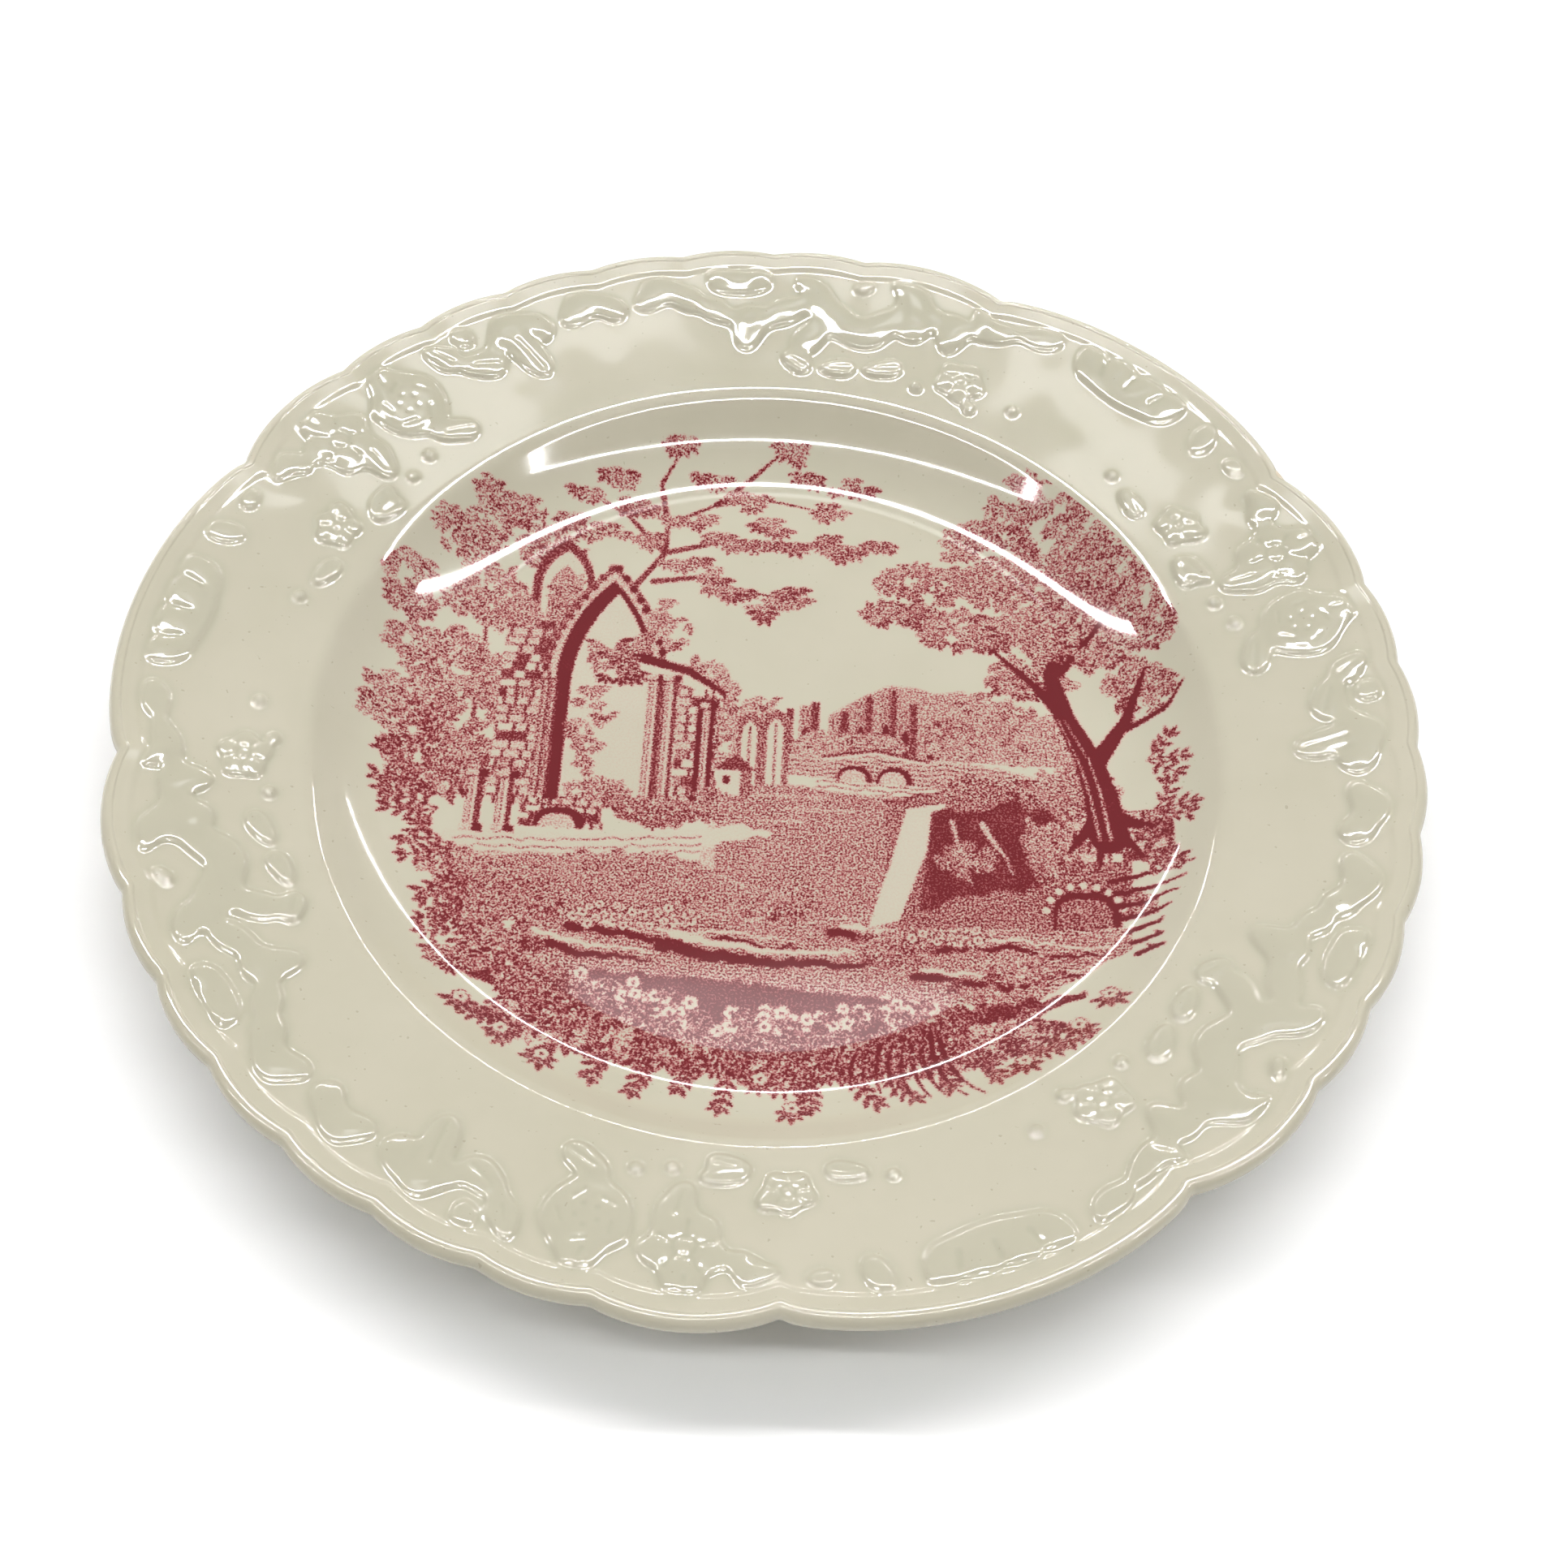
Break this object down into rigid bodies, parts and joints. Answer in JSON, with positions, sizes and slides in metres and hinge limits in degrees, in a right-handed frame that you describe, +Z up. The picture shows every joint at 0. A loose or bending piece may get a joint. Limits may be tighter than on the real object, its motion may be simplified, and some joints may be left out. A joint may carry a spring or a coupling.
{
  "type": "dinner plate",
  "caption": "Round scalloped earthenware dinner plate with a foot ring, a printed well and a clear glaze.",
  "frame": {"origin": "on the plate's axis, in the plane that the foot ring stands on", "axes": "+Z up along the plate's axis, out of the well; +Y towards the top of the printed picture"},
  "size_m": [0.2553, 0.2552, 0.0246],
  "materials": {
    "biscuit": "bare fired earthenware, matt",
    "print": "crimson underglaze print",
    "glaze": "clear glossy glaze over a cream body"
  },
  "bodies": {
    "root": {"biscuit_body": "biscuit", "transfer_print": "print", "outer_glaze": "glaze", "recess_glaze": "glaze"}
  },
  "joints": []
}
